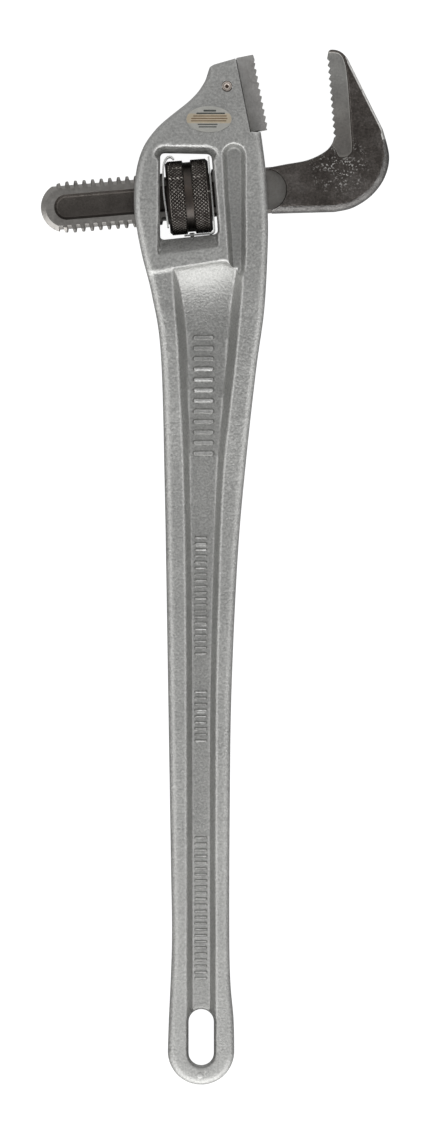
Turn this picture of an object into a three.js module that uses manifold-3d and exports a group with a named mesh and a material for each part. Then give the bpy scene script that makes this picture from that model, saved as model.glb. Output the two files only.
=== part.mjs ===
// A 24-inch aluminium offset pipe wrench lying on its side, in millimetres, +Z up.
//
// The drawing datum is the middle of the adjusting nut. X runs across the wrench, from
// the shank's free end to the hook jaw, Y runs up the handle from the hanging hole to
// the jaws, and Z is the thickness. The shank slides along an axis turned SHANK_TILT
// from X; that turned frame is written (u, v), and carriage holds what lives in it.
// The finished group is moved so that its origin is the middle of the underside.

import * as THREE from 'three';
import { mergeVertices } from 'three/addons/utils/BufferGeometryUtils.js';
import { ParametricGeometry } from 'three/addons/geometries/ParametricGeometry.js';
import Module from 'manifold-3d';

const wasm = await Module();
wasm.setup();

// ---------------------------------------------------------------- driving dimensions

const GAP = 0.3;                     // running gap between pieces that touch
const SHANK_TILT = 4.8 * Math.PI / 180;

const HEAD_HALF = 23;                // half thickness of the head's cheeks
const TOP_HALF = 14;                 // half thickness at the very top of the head
const GRIP_HALF = 13.5;              // half thickness of the grip's flanges
const WEB_HALF = 4.5;                // half thickness of the grip's web
const TAPER_Y = 32;                  // the cheeks start to thin here
const HEAD_TOP_Y = 86;
const CHEEK_FOOT_Y = -41;            // the cheeks step down to the neck here
const NECK_RISE = 7;                 // how much thicker than the grip the neck starts
const NECK_END_Y = -190;
const RAMP = { rise: 16.5, length: 14 };    // the web's curved ramp up to the cheeks
const EDGE_ROUND = 4;                // rounding of the casting's outer edges
const WINDOW = [[-17.1, 26.1], [13.2, 25.5], [17.3, -22.1], [-17.1, -25.7]];
// The sill slopes from the cheek's face down to the window's lower edge.
const SILL = { back: -16.6, front: 17.2, foot: -32.6, edge: -24.5, height: 11, turn: 8.5 };
// The cheek's groove narrows from the top circle to the bottom one.
const GROOVE = { top: [26.5, 24.2, 7.1], bottom: [28.2, -41, 5.2], floor: 16.2, draft: 2.2 };
const THROUGH = 40;                  // half length of a tool that cuts right through

const EYE = { x: 7.1, y: -503.9, radius: 19.5 };
const HANG_HOLE = { x: 7.2, y: -495.7, width: 15.1, length: 33.4 };

const PITCH = 5.08;                  // 5 threads per inch, right hand
const RACK = { crest: 15.35, root: 12.9, half: 7.2, end: -87.6, last: 46 };
const THREAD = { crestWidth: 1.2, rootWidth: 2.7 };
const PLAIN_RADIUS = 13.6;           // shank beyond the threads
const RACK_GROOVE = { from: -72.2, to: 20, half: 7.35, depth: 2.8 };
const BACK_SLOT = { height: 37, half: 8.2, from: -50, to: -10 };    // lets the shank out
const FRONT_SLOT = { low: -18, high: 22.5, half: 13.5, from: 12, to: 56 };

const NUT = { radius: 21.85, width: 25.4, chamfer: 1.6, waist: 4.7, waistRadius: 20.6 };
const NUT_BORE = RACK.root + 0.4;
const THREAD_CLEAR = { radial: 0.4, side: 0.25 };

const FORGING_START = 47.9;          // where the shank's milled bar meets the forging
const HOOK_HALF = 12.7;              // half thickness of the hook's forging
const BAND_HALF = 11;                // half thickness of the milled band by the teeth
const MILL = { u: 45.6, v: 0.3, radius: 12.4, cover: 59 };

const TOOTH = { pitch: 4, depth: 1.35 };
const HOOK_TEETH = { face: 88.15, top: 74.6, count: 12 };
const HEEL_TEETH = { face: 11, bottom: 3.4, count: 10 };

const HEEL_SEAT = { x: 36, y: 37.8, tilt: 11.2 * Math.PI / 180, length: 44.6 };
const HEEL_HALF = 13.6;
const TONGUE = { half: 6, depth: 12.5, from: 9, to: 39 };
const HEEL_PIN = { t: -8.1, s: 29.2, radius: 3, half: 17.1, dimple: 1.2 };

const LEAF_HALF = 15;                // half width of both leaf springs
const LEAF = 0.7;                    // their thickness
const LEAF_SLOT = { half: 8.4, from: -17.6, to: 17.2 };    // clears the shank
const FOOT = { half: 4, from: -4.6, shoulder: 10.4 };     // the flat spring under the nut
const COIL = { x: 2.1, top: -24.4, length: 13, radius: 3.3, wire: 0.45, turns: 6 };
const COIL_BORE_RADIUS = 4.4;
const LABEL = { x: 11.8, y: 45.4, halfLength: 13.4, halfHeight: 7.8, thickness: 0.4 };

// ------------------------------------------------------------------------- materials

const finish = (color, roughness, metalness) =>
    new THREE.MeshStandardMaterial({ color, roughness, metalness });
const CAST_ALUMINIUM = () => finish(0x8e8f8c, 0.55, 0.7);
const JAW_STEEL = () => finish(0x77766f, 0.5, 0.85);
const DARK_FORGING = () => finish(0x47423d, 0.55, 0.8);
const SPRING_STEEL = () => finish(0xc8c8c4, 0.3, 0.95);
const COPPER = () => finish(0x9a8473, 0.4, 0.9);
const FOIL = () => finish(0x8f8471, 0.5, 0.2);

// --------------------------------------------------------------- solids from geometry

// Joins a closed geometry's shared vertices and makes a solid of it. Triangles that
// lost their area when vertices joined are dropped.
function solid(geometry) {
    const bare = new THREE.BufferGeometry();
    bare.setAttribute('position', geometry.getAttribute('position').clone());
    if (geometry.index) bare.setIndex(geometry.index.clone());
    const merged = mergeVertices(bare, 1e-4);
    const index = merged.index.array;
    const kept = [];
    for (let i = 0; i < index.length; i += 3) {
        const [a, b, c] = [index[i], index[i + 1], index[i + 2]];
        if (a !== b && b !== c && c !== a) kept.push(a, b, c);
    }
    const vertProperties = Float32Array.from(merged.getAttribute('position').array);
    const triVerts = Uint32Array.from(kept);
    return new wasm.Manifold(new wasm.Mesh({ numProp: 3, vertProperties, triVerts }));
}

function mesh(name, body, material) {
    const { vertProperties, triVerts } = body.getMesh();
    const geometry = new THREE.BufferGeometry();
    geometry.setAttribute('position', new THREE.BufferAttribute(vertProperties, 3));
    geometry.setIndex(new THREE.BufferAttribute(triVerts, 1));
    geometry.computeVertexNormals();
    const piece = new THREE.Mesh(geometry, material);
    piece.name = name;
    return piece;
}

// A plate lying in XY, centred on z = 0, with its edges rounded by round.
function plate(shape, half, round = 0, curveSegments = 6, bevelSegments = 2) {
    const geometry = new THREE.ExtrudeGeometry(shape, {
        depth: 2 * (half - round),
        bevelEnabled: round > 0,
        bevelThickness: round,
        bevelSize: round,
        bevelOffset: -round,
        bevelSegments,
        curveSegments,
    });
    return geometry.translate(0, 0, round - half);
}

// A cutting tool whose floor is at z = floor and whose side walls lean out by draft
// until z = mouth, above which they stand straight.
function pocket(shape, floor, mouth, draft, curveSegments = 6) {
    const rise = mouth - floor;
    const geometry = new THREE.ExtrudeGeometry(shape, {
        depth: THROUGH - mouth,
        bevelEnabled: true,
        bevelThickness: rise,
        bevelSize: draft,
        bevelOffset: -draft,
        bevelSegments: 1,
        curveSegments,
    });
    return geometry.translate(0, 0, mouth);
}

// The same shape on both sides of the middle plane.
const onBothSides = (upper) => upper.add(upper.mirror([0, 0, 1]));

// A prism along X whose section is drawn in (y, z).
function prismAlongX(points, from, to) {
    const section = new THREE.Shape(points.map(([y, z]) => new THREE.Vector2(y, z)));
    const geometry = new THREE.ExtrudeGeometry(section, { depth: to - from, bevelEnabled: false });
    const axes = new THREE.Matrix4().makeBasis(
        new THREE.Vector3(0, 1, 0), new THREE.Vector3(0, 0, 1), new THREE.Vector3(1, 0, 0));
    return geometry.applyMatrix4(axes).translate(from, 0, 0);
}

function roundBar(radius, from, to, sides = 48) {
    const profile = [[0, from], [radius, from], [radius, to], [0, to]];
    return lathe(profile, sides);
}

function lathe(profile, sides) {
    const points = profile.map(([r, y]) => new THREE.Vector2(r, y));
    return new THREE.LatheGeometry(points, sides);
}

// Turns a geometry made about the Y axis so that it lies about the X axis.
const alongX = (geometry) => geometry.rotateZ(-Math.PI / 2);
const alongZ = (geometry) => geometry.rotateX(Math.PI / 2);

function capsuleShape(x0, y0, x1, y1, radius) {
    const angle = Math.atan2(y1 - y0, x1 - x0);
    const shape = new THREE.Shape();
    shape.absarc(x1, y1, radius, angle - Math.PI / 2, angle + Math.PI / 2);
    shape.absarc(x0, y0, radius, angle + Math.PI / 2, angle + 3 * Math.PI / 2);
    return shape;
}

// A polygon with every corner rounded by the same radius.
function roundedPolygon(corners, radius) {
    const shape = new THREE.Shape();
    const count = corners.length;
    corners.forEach(([x, y], i) => {
        const corner = new THREE.Vector2(x, y);
        const before = new THREE.Vector2(...corners[(i + count - 1) % count]).sub(corner);
        const after = new THREE.Vector2(...corners[(i + 1) % count]).sub(corner);
        const start = before.setLength(radius).add(corner);
        const end = after.setLength(radius).add(corner);
        if (i === 0) shape.moveTo(start.x, start.y);
        else shape.lineTo(start.x, start.y);
        shape.quadraticCurveTo(x, y, end.x, end.y);
    });
    shape.closePath();
    return shape;
}

// One right-hand thread ridge about the X axis, from x = from to x = to. Its section is
// a trapezoid from radius inner, where it is rootWidth wide, to radius outer. Both ends
// taper to nothing, so the ridge is closed.
function threadRidge(from, to, inner, outer, rootWidth, crestWidth, stepsPerTurn = 16) {
    const steps = Math.ceil((to - from) / PITCH * stepsPerTurn);
    const corners = [
        [-rootWidth / 2, inner],
        [rootWidth / 2, inner],
        [crestWidth / 2, outer],
        [-crestWidth / 2, outer],
    ];
    const middle = (inner + outer) / 2;
    const surface = (side, along, target) => {
        const [dx, r] = corners[Math.round(side * 4) % 4];
        const closed = along === 0 || along === 1;
        const x = from + (to - from) * along;
        const turn = 2 * Math.PI * x / PITCH;
        const radius = closed ? middle : r;
        target.set(x + (closed ? 0 : dx), radius * Math.cos(turn), radius * Math.sin(turn));
    };
    return new ParametricGeometry(surface, 4, steps);
}

// A row of saw teeth from one end of a face to the other, as [across, along] points.
// The tips stand depth outside the valleys; lean is how far below its tip each valley
// lies, as a part of the pitch.
function toothedEdge(face, first, count, step, lean, outward) {
    const points = [];
    for (let i = 0; i < count; i++) {
        const tip = first + i * step;
        const valleyBelow = tip - lean * TOOTH.pitch;
        const valleyAbove = tip + (1 - lean) * TOOTH.pitch;
        const near = step > 0 ? valleyBelow : valleyAbove;
        points.push([face - outward * TOOTH.depth, near], [face, tip]);
    }
    return points;
}

const shapeOf = (points) => new THREE.Shape(points.map(([x, y]) => new THREE.Vector2(x, y)));

// ---------------------------------------------------------------------------- handle

// Back edge of the casting from the head's top corner down to the eye, and the front
// edge from the eye up to the heel jaw's shoulder.
const BACK_EDGE = [
    [8.6, 66.5], [1.2, 57.2], [-19.5, 39.5], [-29.5, 21.8], [-32.4, -4.7], [-28.3, -31.3],
    [-21.8, -57.8], [-16.5, -93.2], [-14.2, -172.9], [-12.4, -279], [-10.6, -391],
    [-10, -440], [-11.9, -488], [EYE.x - EYE.radius, EYE.y],
];
const FRONT_EDGE = [
    [26.2, -485], [23.8, -447], [24.1, -340], [25.4, -279], [28.9, -208.3],
    [33.6, -155.2], [39.5, -102], [44.3, -66.7], [46.3, -31], [46.4, -9], [45.2, 15],
    [42.2, HEEL_SEAT.y - 0.4],
];

const vectors = (points) => points.map(([x, y]) => new THREE.Vector2(x, y));

function handleOutline() {
    const seatTop = heelPoint(0, HEEL_SEAT.length);
    const shape = new THREE.Shape();
    shape.moveTo(HEEL_SEAT.x, HEEL_SEAT.y - 0.4);
    shape.lineTo(seatTop.x, seatTop.y);
    shape.lineTo(14.6, 77.8);
    shape.quadraticCurveTo(11.8, 76.6, 11, 72.5);
    shape.splineThru(vectors(BACK_EDGE));
    shape.absarc(EYE.x, EYE.y, EYE.radius, Math.PI, 2 * Math.PI);
    shape.splineThru(vectors(FRONT_EDGE));
    shape.closePath();
    return shape;
}

// A point of the heel jaw's own frame, t out of the seat and s up along it.
function heelPoint(t, s) {
    const cos = Math.cos(HEEL_SEAT.tilt);
    const sin = Math.sin(HEEL_SEAT.tilt);
    return new THREE.Vector2(HEEL_SEAT.x + t * cos - s * sin, HEEL_SEAT.y + t * sin + s * cos);
}

function onHeelSeat(geometry) {
    return geometry.rotateZ(HEEL_SEAT.tilt).translate(HEEL_SEAT.x, HEEL_SEAT.y, 0);
}

// Side view of the neck and head: flanges that thicken up the neck, then cheeks of full
// thickness, thinning towards the jaws.
function headProfile() {
    const neck = [0, 0.25, 0.5, 0.75, 1].map((t) => [
        NECK_END_Y + t * (CHEEK_FOOT_Y - 4 - NECK_END_Y),
        GRIP_HALF - 0.2 + NECK_RISE * t * t * (3 - 2 * t),
    ]);
    const upper = [
        ...neck, [CHEEK_FOOT_Y + 1, HEAD_HALF], [TAPER_Y, HEAD_HALF], [HEAD_TOP_Y, TOP_HALF],
    ];
    const lower = upper.map(([y, z]) => [y, -z]).reverse();
    return prismAlongX([...upper, ...lower].reverse(), -60, 80);
}

// The grip's recess on one side: its outline at the flanges' surface, and the ramp that
// brings its floor up to the cheek.
const WEB_BACK = [[-8.5, -66], [-7, -85], [-5.6, -115], [-3.4, -165], [-2, -260], [-1.6, -470]];
const WEB_FRONT = [[16.1, -470], [16, -340], [17, -260], [20, -170], [24.5, -125], [28.4, -90]];

function webPocket() {
    const shape = new THREE.Shape();
    shape.moveTo(-10, -42.5);
    shape.splineThru(vectors(WEB_BACK));
    shape.lineTo(-1.6, -504.5);
    shape.absarc(7.25, -504.5, 8.85, Math.PI, 2 * Math.PI);
    shape.lineTo(16.1, -470);
    shape.splineThru(vectors(WEB_FRONT.slice(1)));
    shape.lineTo(31.5, -52);
    shape.lineTo(30.5, -40);
    shape.lineTo(19.5, -37.8);
    shape.closePath();
    const rise = GRIP_HALF - WEB_HALF;
    const walls = pocket(shape, WEB_HALF, WEB_HALF + rise, 2.8, 3);
    const curve = [3, -4, -12, -22, -37, -60].map((dy) => [
        CHEEK_FOOT_Y + dy, WEB_HALF + RAMP.rise * Math.exp(Math.min(0.2, dy / RAMP.length)),
    ]);
    const ramp = [[-540, WEB_HALF], [-540, 60], [-30, 60], [-30, HEAD_HALF + 6], ...curve];
    return solid(walls).intersect(solid(prismAlongX(ramp.reverse(), -60, 80)));
}

function windowCuts() {
    const { back, front, foot, edge, height, turn } = SILL;
    const above = HEAD_HALF + 1;
    const beyond = edge + 6.5;
    const section = [
        [foot, above], [foot, HEAD_HALF], [edge, height], [beyond, height], [beyond, above]];
    const sill = prismAlongX(section, back, front).rotateZ(turn * Math.PI / 180);
    const sills = onBothSides(solid(sill.translate(0, 1.5, 0)));
    return solid(plate(roundedPolygon(WINDOW, 3), THROUGH)).add(sills);
}

function cheekGroove() {
    const shape = new THREE.Shape();
    shape.absarc(...GROOVE.top, 0, Math.PI);
    shape.absarc(...GROOVE.bottom, Math.PI, 2 * Math.PI);
    shape.closePath();
    return onBothSides(solid(pocket(shape, GROOVE.floor, HEAD_HALF, GROOVE.draft)));
}

// A box between opposite corners that is as far below z = 0 as above it.
function slab(x0, y0, x1, y1, half) {
    const box = new THREE.BoxGeometry(x1 - x0, y1 - y0, 2 * half);
    return box.translate((x0 + x1) / 2, (y0 + y1) / 2, 0);
}

function slotCuts() {
    const { height } = BACK_SLOT;
    const back = slab(BACK_SLOT.from, -height / 2, BACK_SLOT.to, height / 2, BACK_SLOT.half);
    const { from, low, to, high, half } = FRONT_SLOT;
    const front = slab(from, low, to, high, half);
    return solid(back.rotateZ(SHANK_TILT)).add(solid(front.rotateZ(SHANK_TILT)));
}

function handle() {
    const grip = solid(plate(handleOutline(), GRIP_HALF, EDGE_ROUND, 3, 2));
    const cheeks = solid(plate(handleOutline(), HEAD_HALF, EDGE_ROUND, 3, 2));
    const pin = alongZ(roundBar(HEEL_PIN.radius + GAP, -THROUGH, THROUGH, 32));
    const tongueSlot = slab(
        -TONGUE.depth - GAP, TONGUE.from - GAP, 6, TONGUE.to + GAP, TONGUE.half + GAP);
    const coilBore = roundBar(COIL_BORE_RADIUS, COIL.top - COIL.length - 0.8, -10, 24);
    const hole = capsuleShape(
        HANG_HOLE.x, HANG_HOLE.y - (HANG_HOLE.length - HANG_HOLE.width) / 2,
        HANG_HOLE.x, HANG_HOLE.y + (HANG_HOLE.length - HANG_HOLE.width) / 2,
        HANG_HOLE.width / 2);

    return cheeks.intersect(solid(headProfile()))
        .add(grip)
        .subtract(onBothSides(webPocket()))
        .subtract(cheekGroove())
        .subtract(windowCuts())
        .subtract(slotCuts())
        .subtract(solid(plate(hole, THROUGH, 0, 10)))
        .subtract(solid(onHeelSeat(pin.translate(HEEL_PIN.t, HEEL_PIN.s, 0))))
        .subtract(solid(onHeelSeat(tongueSlot)))
        .subtract(solid(coilBore.translate(COIL.x, 0, 0)));
}

// -------------------------------------------------------------------------- heel jaw

function heelJaw() {
    const teeth = toothedEdge(
        HEEL_TEETH.face, HEEL_TEETH.bottom, HEEL_TEETH.count, TOOTH.pitch, 0.75, 1);
    const lastTip = HEEL_TEETH.bottom + (HEEL_TEETH.count - 1) * TOOTH.pitch;
    const outline = [
        [GAP, 0], [HEEL_TEETH.face - 0.6, 0], ...teeth,
        [HEEL_TEETH.face - TOOTH.depth, lastTip + 1], [HEEL_TEETH.face, lastTip + 2],
        [HEEL_TEETH.face - 0.4, HEEL_SEAT.length], [GAP, HEEL_SEAT.length],
    ];
    const tongue = slab(-TONGUE.depth, TONGUE.from, 2, TONGUE.to, TONGUE.half);
    const bore = alongZ(roundBar(HEEL_PIN.radius + GAP, -THROUGH, THROUGH, 32));
    return solid(plate(shapeOf(outline), HEEL_HALF))
        .add(solid(tongue))
        .subtract(solid(bore.translate(HEEL_PIN.t, HEEL_PIN.s, 0)));
}

function heelPin() {
    const { half, dimple, radius: r } = HEEL_PIN;
    const profile = [
        [0, -half + dimple], [r * 0.45, -half], [r * 0.8, -half], [r, -half + 0.6],
        [r, half - 0.6], [r * 0.8, half], [r * 0.45, half], [0, half - dimple],
    ];
    return solid(alongZ(lathe(profile, 32)));
}

// -------------------------------------------------------------------------- hook jaw

const HOOK_HEEL = [84.8, -15.9];     // where the hook's underside starts to curve up
const HOOK_BACK = [[95.8, -14.3], [107.2, -8.2], [115.8, 1.6], [119.6, 14], [117.2, 29.8]];
const HOOK_NOSE = [101.2, 70];

function hookOutline() {
    const tips = toothedEdge(
        HOOK_TEETH.face, HOOK_TEETH.top, HOOK_TEETH.count, -TOOTH.pitch, 0.42, -1);
    const lowestTip = HOOK_TEETH.top - (HOOK_TEETH.count - 1) * TOOTH.pitch;
    const shape = new THREE.Shape();
    shape.moveTo(FORGING_START, -13.8);
    shape.lineTo(...HOOK_HEEL);
    shape.splineThru(vectors(HOOK_BACK));
    shape.lineTo(...HOOK_NOSE);
    shape.quadraticCurveTo(98.2, 79.2, 90.4, 79.3);
    shape.lineTo(89.2, 78.6);
    shape.lineTo(HOOK_TEETH.face + 0.4, 76.2);
    tips.slice(1).forEach(([u, v]) => shape.lineTo(u, v));
    shape.lineTo(HOOK_TEETH.face + TOOTH.depth, lowestTip - 1.7);
    shape.lineTo(88.3, 27.6);
    shape.splineThru(vectors([[86.7, 24.1], [83.1, 20.4], [76.9, 17.3], [69.8, 15.3]]));
    shape.lineTo(58.9, 14.3);
    shape.lineTo(FORGING_START, 13.1);
    shape.closePath();
    return shape;
}

// The band beside the teeth, milled a little below the forging's face.
function bandOutline() {
    const shape = new THREE.Shape();
    shape.moveTo(80, 90);
    shape.lineTo(80, 24);
    shape.lineTo(86.4, 19.4);
    shape.quadraticCurveTo(88.6, 14.8, 92.5, 15);
    shape.quadraticCurveTo(98.6, 15.4, 98.8, 22);
    shape.lineTo(99.4, 57.4);
    shape.quadraticCurveTo(99.6, 76.4, 91, 76.6);
    shape.lineTo(86, 76.6);
    shape.closePath();
    return shape;
}

function shankBar() {
    const { crest, root, half, end, last } = RACK;
    const plain = solid(alongX(roundBar(PLAIN_RADIUS, last - 0.8, MILL.cover)));
    const core = solid(alongX(roundBar(root, end, last, 20)));
    const ridge = solid(threadRidge(
        end - 6, last, root - 0.6, crest, THREAD.rootWidth + 0.4, THREAD.crestWidth));
    const flats = slab(end - 1, -20, MILL.cover + 1, 20, half);
    const silhouette = plate(
        capsuleShape(end + crest, 0, MILL.cover, 0, crest + 0.1), half + 2, 4.5, 10, 1);
    return core.add(ridge).add(plain).intersect(solid(flats)).intersect(solid(silhouette));
}

function hookJaw() {
    const forging = solid(plate(hookOutline(), HOOK_HALF, 0, 5));
    const rounded = solid(plate(hookBlank(), HOOK_HALF, 3.2, 5, 2));
    const cutter = alongZ(roundBar(MILL.radius, 0, 10, 40));
    const flat = solid(cutter.translate(MILL.u, MILL.v, RACK.half));
    const band = pocket(bandOutline(), BAND_HALF, BAND_HALF + 1.2, 1);
    const grooveShape = capsuleShape(RACK_GROOVE.from, 0, RACK_GROOVE.to, 0, RACK_GROOVE.half);
    const groove = pocket(grooveShape, RACK.half - RACK_GROOVE.depth, RACK.half, 0.8, 8);
    return forging.intersect(rounded)
        .subtract(onBothSides(flat))
        .subtract(onBothSides(solid(band)))
        .add(shankBar())
        .subtract(onBothSides(solid(groove)));
}

// The forging's outline without teeth and a little proud of them, whose rounded edges
// the forging takes everywhere but along the teeth.
function hookBlank() {
    const shape = new THREE.Shape();
    shape.moveTo(38, -13.6);
    shape.lineTo(...HOOK_HEEL);
    shape.splineThru(vectors(HOOK_BACK));
    shape.lineTo(...HOOK_NOSE);
    shape.quadraticCurveTo(98.2, 79.2, 90.4, 79.3);
    shape.lineTo(82, 79.4);
    shape.lineTo(82, 21);
    shape.splineThru(vectors([[76.9, 17.3], [69.8, 15.3]]));
    shape.lineTo(58.9, 14.3);
    shape.lineTo(38, 12.6);
    shape.closePath();
    return shape;
}

// --------------------------------------------------------------------- adjusting nut

function adjustingNut() {
    const { radius, width, chamfer, waist, waistRadius } = NUT;
    const half = width / 2;
    const profile = [
        [0, -half], [radius - chamfer, -half], [radius, -half + chamfer],
        [radius, -waist / 2 - 0.8], [waistRadius, -waist / 2], [waistRadius, waist / 2],
        [radius, waist / 2 + 0.8], [radius, half - chamfer], [radius - chamfer, half],
        [0, half],
    ];
    const bore = alongX(roundBar(NUT_BORE, -width, width, 20));
    const { radial, side } = THREAD_CLEAR;
    const clearance = threadRidge(
        -half - PITCH, half + PITCH, NUT_BORE - 0.8, RACK.crest + radial,
        THREAD.rootWidth + 0.9 + 2 * side, THREAD.crestWidth + 2 * side);
    return solid(alongX(lathe(profile, 64))).subtract(solid(bore)).subtract(solid(clearance));
}

// --------------------------------------------------------------------------- springs

// A strip of spring steel along a path drawn in XY, LEAF thick and 2 * LEAF_HALF wide.
function leafStrip(path, divisions) {
    const points = path.getSpacedPoints(divisions);
    const offset = (side) => points.map((point, i) => {
        const tangent = path.getTangentAt(i / divisions);
        return [point.x - side * tangent.y * LEAF / 2, point.y + side * tangent.x * LEAF / 2];
    });
    const outline = [...offset(1), ...offset(-1).reverse()];
    return plate(shapeOf(outline), LEAF_HALF);
}

// The slot through a leaf spring that lets the shank pass.
function shankSlot(from, to) {
    const height = to - from;
    return solid(new THREE.BoxGeometry(20, height, 2 * LEAF_SLOT.half)
        .translate(0, from + height / 2, 0));
}

// From the window's top, down the nut's front face and back under the nut.
function flatSpring() {
    const face = NUT.width / 2 + 1.2 * GAP + LEAF / 2;
    const foot = -NUT.radius - GAP - LEAF / 2;
    const bend = 2.6;
    const path = new THREE.CurvePath();
    const corners = [[face, 22.6], [face, foot + bend], [face - bend, foot], [FOOT.from, foot]];
    const at = (i) => new THREE.Vector2(...corners[i]);
    path.add(new THREE.LineCurve(at(0), at(1)));
    path.add(new THREE.QuadraticBezierCurve(at(1), new THREE.Vector2(face, foot), at(2)));
    path.add(new THREE.LineCurve(at(2), at(3)));
    const rivetHole = solid(roundBar(1.5, -THROUGH, THROUGH, 20));
    const wings = slab(FOOT.from - 10, foot - 10, FOOT.shoulder, foot + 10, 2 * LEAF_HALF);
    const kept = slab(FOOT.from - 20, foot - 20, FOOT.shoulder + 10, foot + 20, FOOT.half);
    return solid(leafStrip(path, 40))
        .subtract(shankSlot(LEAF_SLOT.from, LEAF_SLOT.to).translate([face, 0, 0]))
        .subtract(rivetHole)
        .subtract(solid(wings).subtract(solid(kept)));
}

// Curled over at the top, down between the nut and the window's back wall, then in
// against the nut's back face.
function returnLeaf() {
    const back = -NUT.width / 2 - GAP - LEAF / 2;
    const path = new THREE.SplineCurve(vectors([
        [-7.2, 22.8], [-8.6, 24.4], [-10.6, 24.3], [-12.2, 22.6], [-13.6, 19],
        [-14.6, 13], [-15.2, 5.5], [-14.9, -0.5], [-14.3, -8], [back - 0.45, -17],
    ]));
    return solid(leafStrip(path, 48))
        .subtract(shankSlot(-40, LEAF_SLOT.to).translate([back, 0, 0]));
}

class Helix extends THREE.Curve {
    constructor(radius, length, turns) {
        super();
        Object.assign(this, { radius, length, turns });
    }

    getPoint(t, target = new THREE.Vector3()) {
        const turn = 2 * Math.PI * this.turns * t;
        const y = -this.length * t;
        return target.set(this.radius * Math.cos(turn), y, this.radius * Math.sin(turn));
    }
}

function coilSpring() {
    const { x, top, length, radius, wire, turns } = COIL;
    const section = new THREE.Shape();
    section.absarc(0, 0, wire, 0, 2 * Math.PI);
    const geometry = new THREE.ExtrudeGeometry(section, {
        steps: turns * 14,
        curveSegments: 3,
        bevelEnabled: false,
        extrudePath: new Helix(radius, length - 2 * wire, turns),
    });
    return solid(geometry.translate(x, top - wire, 0));
}

// Its head lies in the gap under the nut's waist; its tail guides the coil.
function springRivet() {
    const under = -NUT.radius - GAP - LEAF;
    const over = -NUT.radius + 0.1;
    const profile = [
        [0, under - 3], [0.8, under - 3], [1.1, under - 2.6], [1.1, over],
        [1.8, over], [1.5, over + 0.45], [0, over + 0.65],
    ];
    return solid(lathe(profile, 20));
}

// ----------------------------------------------------------------------------- label

function ovalLabel() {
    const shape = new THREE.Shape();
    shape.absellipse(0, 0, LABEL.halfLength, LABEL.halfHeight, 0, 2 * Math.PI);
    return solid(plate(shape, LABEL.thickness / 2, 0, 20));
}

// -------------------------------------------------------------------------- assembly

const tool = new THREE.Group();
tool.add(mesh('handle', handle(), CAST_ALUMINIUM()));

const heel = new THREE.Group();
heel.position.set(HEEL_SEAT.x, HEEL_SEAT.y, 0);
heel.rotation.z = HEEL_SEAT.tilt;
heel.add(mesh('heel_jaw', heelJaw(), JAW_STEEL()));
const pin = mesh('heel_jaw_pin', heelPin(), COPPER());
pin.position.set(HEEL_PIN.t, HEEL_PIN.s, 0);
heel.add(pin);
tool.add(heel);

const carriage = new THREE.Group();
carriage.rotation.z = SHANK_TILT;
carriage.add(mesh('hook_jaw', hookJaw(), DARK_FORGING()));
carriage.add(mesh('adjusting_nut', adjustingNut(), DARK_FORGING()));
carriage.add(mesh('flat_spring', flatSpring(), SPRING_STEEL()));
carriage.add(mesh('return_leaf', returnLeaf(), SPRING_STEEL()));
carriage.add(mesh('spring_rivet', springRivet(), SPRING_STEEL()));
tool.add(carriage);
tool.add(mesh('coil_spring', coilSpring(), SPRING_STEEL()));

const slope = Math.atan2(HEAD_HALF - TOP_HALF, HEAD_TOP_Y - TAPER_Y);
const label = mesh('oval_label', ovalLabel(), FOIL());
const cheekHeight = HEAD_HALF - (LABEL.y - TAPER_Y) * Math.tan(slope);
label.position.set(LABEL.x, LABEL.y, cheekHeight + GAP + LABEL.thickness / 2);
label.rotation.x = -slope;
tool.add(label);

// The origin is the middle of the underside.
tool.updateMatrixWorld(true);
const extent = new THREE.Box3().setFromObject(tool, true);
const middle = extent.getCenter(new THREE.Vector3());
tool.position.set(-middle.x, -middle.y, -extent.min.z);

const wrench = new THREE.Group();
wrench.add(tool);

export default wrench;
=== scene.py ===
# Looks of a 24-inch aluminium offset pipe wrench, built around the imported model.
#
# Shapes are drawn in millimetres in one of three drawing frames and then placed in the
# model's frame, in metres:
#   tool   x across the wrench, y up the handle, z through it, from the nut's middle
#   shank  (u, v, z): the tool frame turned by SHANK_TILT, in which the hook jaw slides
#   heel   (t, s, z): t out of the heel jaw's seat, s up along it

import math

import bpy
import numpy as np
from mathutils import Matrix, Vector
from mathutils.geometry import delaunay_2d_cdt
from mathutils.kdtree import KDTree
from mathutils.noise import noise


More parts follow.
